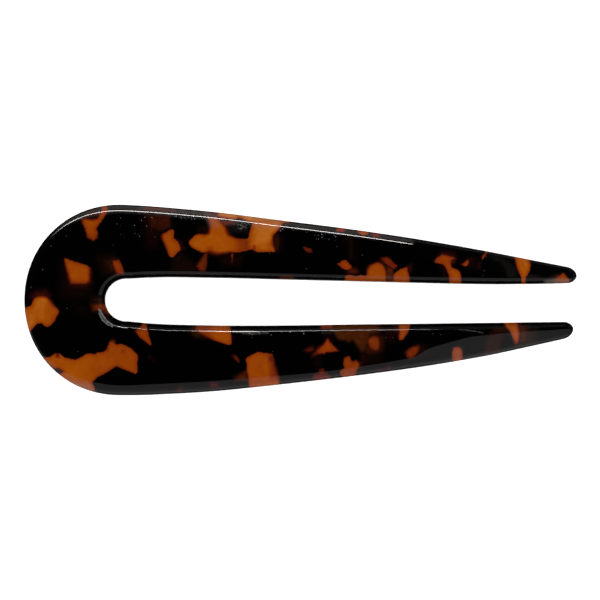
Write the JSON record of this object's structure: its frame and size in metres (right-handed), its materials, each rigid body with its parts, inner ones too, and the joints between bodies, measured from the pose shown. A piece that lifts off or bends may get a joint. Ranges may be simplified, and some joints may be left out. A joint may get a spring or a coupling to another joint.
{
  "type": "hairpin",
  "caption": "Flat U-shaped hairpin in polished tortoiseshell acetate, with a round crown and tapering prongs that hold a twist or bun.",
  "frame": {"origin": "middle of the bounding box on the flat underside", "axes": "+X from the crown to the tips, +Y across the prongs, +Z out of the upper face"},
  "size_m": [0.115, 0.0398, 0.004],
  "materials": {
    "acetate": "polished tortoiseshell cellulose acetate, near black with amber flecks"
  },
  "bodies": {
    "root": {"hairpin": "acetate"}
  },
  "joints": []
}
